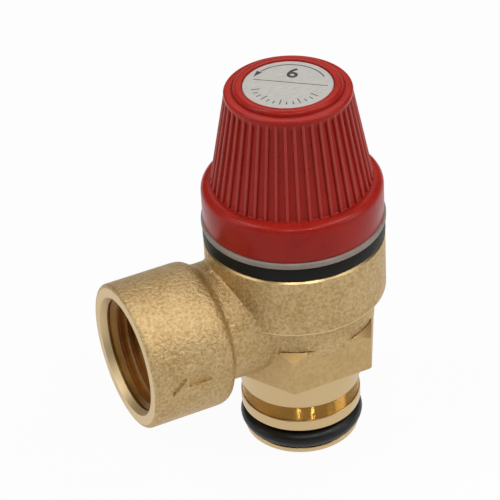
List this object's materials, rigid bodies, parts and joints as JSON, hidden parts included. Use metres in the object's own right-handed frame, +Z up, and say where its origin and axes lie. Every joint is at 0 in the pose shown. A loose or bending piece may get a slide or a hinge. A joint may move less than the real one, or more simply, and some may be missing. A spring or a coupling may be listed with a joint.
{
  "type": "pressure relief valve",
  "caption": "Angle pressure relief valve: forged brass body with a plug-in spigot and a threaded side outlet, under a ribbed red hand-test knob that turns to lift the seal.",
  "frame": {"origin": "middle of the spigot's end face, on the valve axis", "axes": "+Z up along the valve axis, from the spigot to the knob; -X out of the side outlet"},
  "size_m": [0.0503, 0.0326, 0.0727],
  "materials": {
    "forged_brass": "shot-blasted hot forging, matt grain with soft highlights",
    "turned_brass": "machined, satin",
    "red_plastic": "moulded, semi-gloss",
    "black_nylon": "moulded, matt",
    "grey_acetal": "moulded, matt",
    "rubber": "moulded rubber, dull",
    "steel": "plated, satin",
    "label_foil": "printed foil, satin"
  },
  "bodies": {
    "valve": {"valve_body": "forged_brass", "inlet_spigot": "turned_brass", "inlet_o_ring": "rubber", "diaphragm": "rubber", "diaphragm_ring": "steel", "bonnet": "black_nylon", "slip_ring": "grey_acetal", "spring": "steel", "upper_spring_washer": "steel", "adjusting_nut": "turned_brass", "lock_ring": "turned_brass"},
    "stem": {"stem": "turned_brass", "disc_holder": "turned_brass", "seat_seal": "rubber", "seal_washer": "steel", "seal_screw": "steel", "lower_spring_plate": "steel", "knob_washer": "steel", "knob_screw": "steel"},
    "knob": {"knob": "red_plastic", "label": "label_foil"}
  },
  "joints": [
    {"name": "stem_lift", "type": "slide", "parent": "valve", "child": "stem", "axis": [0, 0, 1], "range_m": [0, 0.0016], "deforming": ["spring", "diaphragm"]},
    {"name": "knob_turn", "type": "hinge", "parent": "stem", "child": "knob", "pos_m": [0, 0, 0.0679], "axis": [0, 0, 1], "range_deg": [0, 80]}
  ],
  "couplings": [
    {"joint": "knob_turn", "follows": "stem_lift", "rad_per_m": 872.66}
  ]
}
